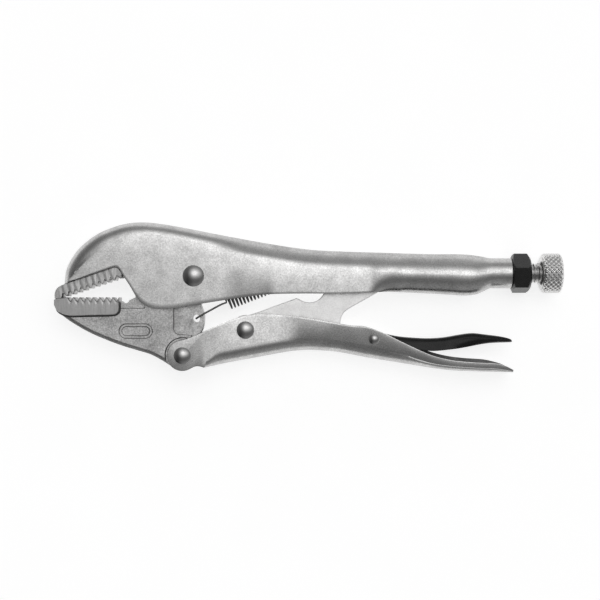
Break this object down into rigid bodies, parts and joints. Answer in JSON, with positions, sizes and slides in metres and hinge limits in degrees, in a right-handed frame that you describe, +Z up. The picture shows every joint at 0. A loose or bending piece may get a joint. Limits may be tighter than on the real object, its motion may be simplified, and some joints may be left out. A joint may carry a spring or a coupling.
{
  "type": "locking pliers",
  "caption": "Locking pliers with a folded sheet-steel upper handle, toothed forged jaws, toggle link, release lever and a knurled adjusting screw with a lock nut.",
  "frame": {"origin": "centre of the bounding box's base: the pliers lie flat on the heads of the pivot rivets and the knob, closed and locked", "axes": "+X from the jaw nose to the adjusting knob, +Y from the lower handle to the upper handle, +Z up through the thickness"},
  "size_m": [0.247, 0.0731, 0.0208],
  "materials": {
    "nickel_sheet": "satin nickel plate over fine-grained pressed sheet",
    "forged_steel": "satin nickel plate over a forging",
    "link_steel": "bright satin nickel plate",
    "black_steel": "glossy black oxide",
    "screw_steel": "nickel plate over turned and knurled steel",
    "rivet_steel": "smooth domed rivet heads",
    "spring_wire": "drawn spring wire"
  },
  "bodies": {
    "upper_assembly": {"upper_handle": "nickel_sheet", "fixed_jaw": "forged_steel", "jaw_pivot_rivet": "rivet_steel", "return_spring": "spring_wire"},
    "jaw": {"lower_jaw": "forged_steel"},
    "grip": {"lower_handle": "nickel_sheet", "handle_pivot_rivet": "rivet_steel", "link_rivet": "rivet_steel", "lever_pin": "rivet_steel"},
    "link": {"toggle_link": "link_steel"},
    "release": {"release_lever": "black_steel"},
    "screw": {"adjusting_screw": "screw_steel"},
    "knob": {"adjusting_knob": "screw_steel"},
    "nut": {"lock_nut": "black_steel"}
  },
  "joints": [
    {"name": "jaw_pivot", "type": "hinge", "parent": "upper_assembly", "child": "jaw", "pos_m": [-0.05575, 0.01025, 0.0104], "axis": [0, 0, 1], "range_deg": [0, 18.05], "deforming": ["return_spring"]},
    {"name": "handle_fold", "type": "hinge", "parent": "jaw", "child": "grip", "pos_m": [-0.06115, -0.02835, 0.0104], "axis": [0, 0, 1], "range_deg": [-59.6, 0]},
    {"name": "link_fold", "type": "hinge", "parent": "grip", "child": "link", "pos_m": [-0.03065, -0.01595, 0.0104], "axis": [0, 0, 1], "range_deg": [0, 60.2]},
    {"name": "release_pivot", "type": "hinge", "parent": "grip", "child": "release", "pos_m": [0.03175, -0.02035, 0.0104], "axis": [0, 0, 1], "range_deg": [-7, 0]},
    {"name": "screw_slide", "type": "slide", "parent": "upper_assembly", "child": "screw", "axis": [1, 0, 0], "range_m": [0, 0.02401]},
    {"name": "knob_turn", "type": "hinge", "parent": "screw", "child": "knob", "pos_m": [0.1173, 0.01165, 0.0104], "axis": [1, 0, 0], "range_deg": [0, 5760]},
    {"name": "nut_turn", "type": "hinge", "parent": "upper_assembly", "child": "nut", "pos_m": [0.1037, 0.01165, 0.0104], "axis": [1, 0, 0], "range_deg": [0, 690]}
  ],
  "couplings": [
    {"joint": "jaw_pivot", "follows": "handle_fold", "ratio": -0.30186},
    {"joint": "link_fold", "follows": "handle_fold", "ratio": -1.0079},
    {"joint": "knob_turn", "follows": "screw_slide", "rad_per_m": 4188.8}
  ]
}
